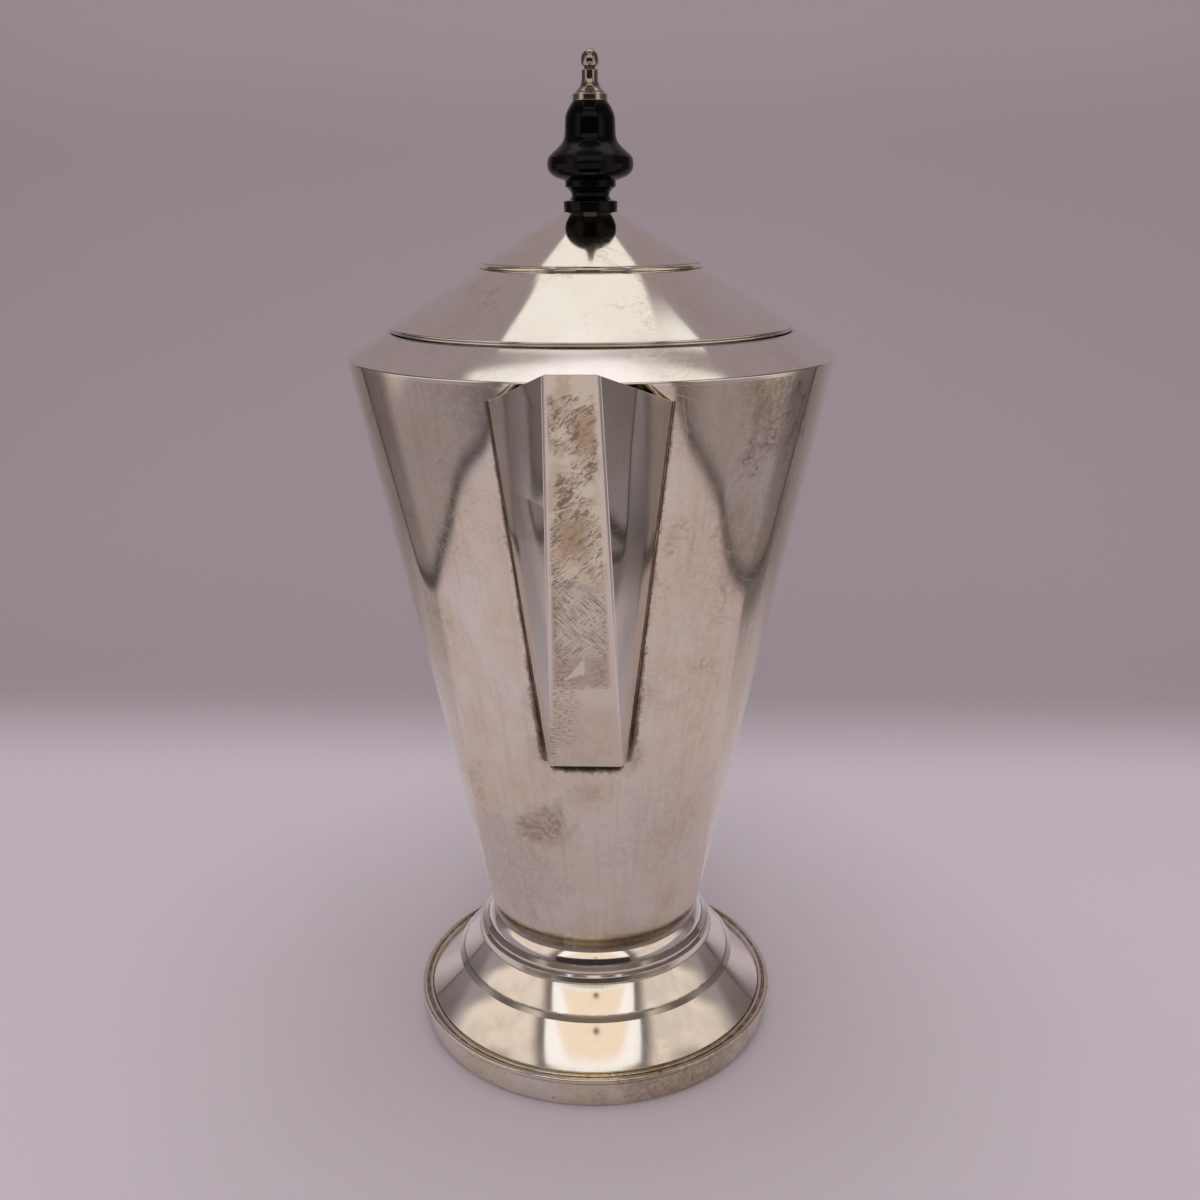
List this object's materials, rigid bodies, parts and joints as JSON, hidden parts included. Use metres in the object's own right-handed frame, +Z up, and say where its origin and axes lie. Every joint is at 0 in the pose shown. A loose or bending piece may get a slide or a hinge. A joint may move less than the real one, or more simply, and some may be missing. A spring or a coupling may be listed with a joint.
{
  "type": "coffee pot",
  "caption": "Conical silver plated coffee pot on a stepped round foot, with a flat-sided wedge spout, hinged conical lid, black finial and black handle.",
  "frame": {"origin": "centre of the foot's resting edge, on the pot's axis at table height", "axes": "+Z up along the pot's axis, -Y towards the spout, +Y towards the handle and hinge, +X to the viewer's right when the spout faces the viewer, mirror plane X = 0"},
  "size_m": [0.128, 0.1998, 0.2727],
  "materials": {
    "silver_plate": "worn polished silver plate on nickel silver",
    "black_fitting": "gloss black",
    "tip_metal": "polished",
    "fixings": "plain turned"
  },
  "bodies": {
    "pot": {"foot_rim_band": "silver_plate", "foot_dome": "silver_plate", "foot_collar": "silver_plate", "body_shell": "silver_plate", "body_floor": "silver_plate", "shoulder_ring": "silver_plate", "rim_bezel": "silver_plate", "spout_left_cheek": "silver_plate", "spout_right_cheek": "silver_plate", "spout_front_strip": "silver_plate", "handle_upper_socket": "silver_plate", "handle_lower_socket": "silver_plate", "handle_grip": "black_fitting", "handle_pins": "fixings", "hinge_fixed_leaf": "silver_plate", "hinge_pin": "fixings"},
    "lid": {"lid_shell": "silver_plate", "lid_bezel": "silver_plate", "lid_hinge_leaf": "silver_plate", "finial_knob": "black_fitting", "finial_tip": "tip_metal", "finial_stud": "fixings", "finial_washer": "fixings", "finial_nut": "fixings"}
  },
  "joints": [
    {"name": "lid_hinge", "type": "hinge", "parent": "pot", "child": "lid", "pos_m": [0, 0.058, 0.20657], "axis": [-1, 0, 0], "range_deg": [0, 100]}
  ]
}
